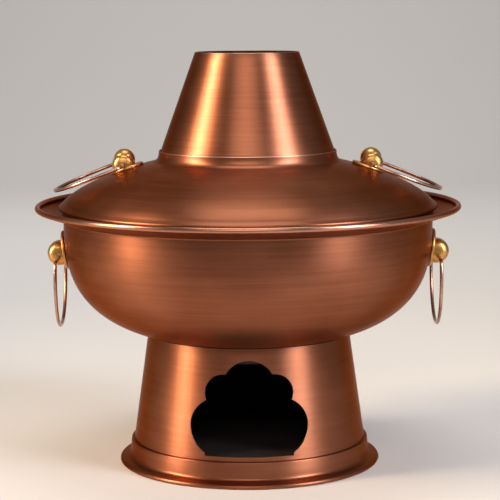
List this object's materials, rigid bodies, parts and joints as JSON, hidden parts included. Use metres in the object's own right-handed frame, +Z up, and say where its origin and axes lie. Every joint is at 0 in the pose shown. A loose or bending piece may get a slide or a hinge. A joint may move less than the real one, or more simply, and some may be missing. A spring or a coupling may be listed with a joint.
{
  "type": "chimney hot pot",
  "caption": "Spun copper hot pot: a ring-shaped bowl round a charcoal chimney, on a stand with a stoke hole, with a lift-off domed lid and swinging ring handles.",
  "frame": {"origin": "middle of the foot's underside, on the table", "axes": "+Z up along the chimney, -Y out of the stoke hole, +X and -X to the handle rings"},
  "size_m": [0.3399, 0.34, 0.329],
  "materials": {
    "copper": "red copper, spun and hand-polished to a soft satin shine",
    "dark_copper": "copper, dulled and darkened by fire and ash",
    "brass": "cast and turned brass, worn smooth",
    "ring_wire": "drawn bronze wire, handled smooth",
    "steel_wire": "plain iron wire inside the rolled edges",
    "iron": "rough cast iron, sooty"
  },
  "bodies": {
    "pot": {"foot_ring": "copper", "foot_wire": "steel_wire", "ash_plate": "dark_copper", "stand_skirt": "copper", "bowl_collar": "copper", "bowl_shell": "copper", "rim_wire": "steel_wire", "fire_tube": "dark_copper", "grate_ring": "dark_copper", "grate": "iron", "chimney_cone": "copper", "bowl_plate_right": "brass", "bowl_washer_right": "brass", "bowl_lug_right": "brass", "bowl_plate_left": "brass", "bowl_washer_left": "brass", "bowl_lug_left": "brass"},
    "lid": {"lid_shell": "copper", "lid_wire": "steel_wire", "lid_collar": "copper", "lid_plate_right": "brass", "lid_washer_right": "brass", "lid_lug_right": "brass", "lid_plate_left": "brass", "lid_washer_left": "brass", "lid_lug_left": "brass"},
    "bowl_ring_right_body": {"bowl_ring_right": "ring_wire"},
    "lid_ring_right_body": {"lid_ring_right": "ring_wire"},
    "bowl_ring_left_body": {"bowl_ring_left": "ring_wire"},
    "lid_ring_left_body": {"lid_ring_left": "ring_wire"}
  },
  "joints": [
    {"name": "lid_lift", "type": "slide", "parent": "pot", "child": "lid", "axis": [0, 0, 1], "range_m": [0, 0.14]},
    {"name": "bowl_ring_right_swing", "type": "hinge", "parent": "pot", "child": "bowl_ring_right_body", "pos_m": [0.15146, 0, 0.16603], "axis": [0, -1, 0], "range_deg": [-32, 154]},
    {"name": "lid_ring_right_swing", "type": "hinge", "parent": "lid", "child": "lid_ring_right_body", "pos_m": [0.09903, 0, 0.2406], "axis": [0, -1, 0], "range_deg": [-8, 152]},
    {"name": "bowl_ring_left_swing", "type": "hinge", "parent": "pot", "child": "bowl_ring_left_body", "pos_m": [-0.15146, 0, 0.16603], "axis": [0, 1, 0], "range_deg": [-32, 154]},
    {"name": "lid_ring_left_swing", "type": "hinge", "parent": "lid", "child": "lid_ring_left_body", "pos_m": [-0.09903, 0, 0.2406], "axis": [0, 1, 0], "range_deg": [-8, 152]}
  ]
}
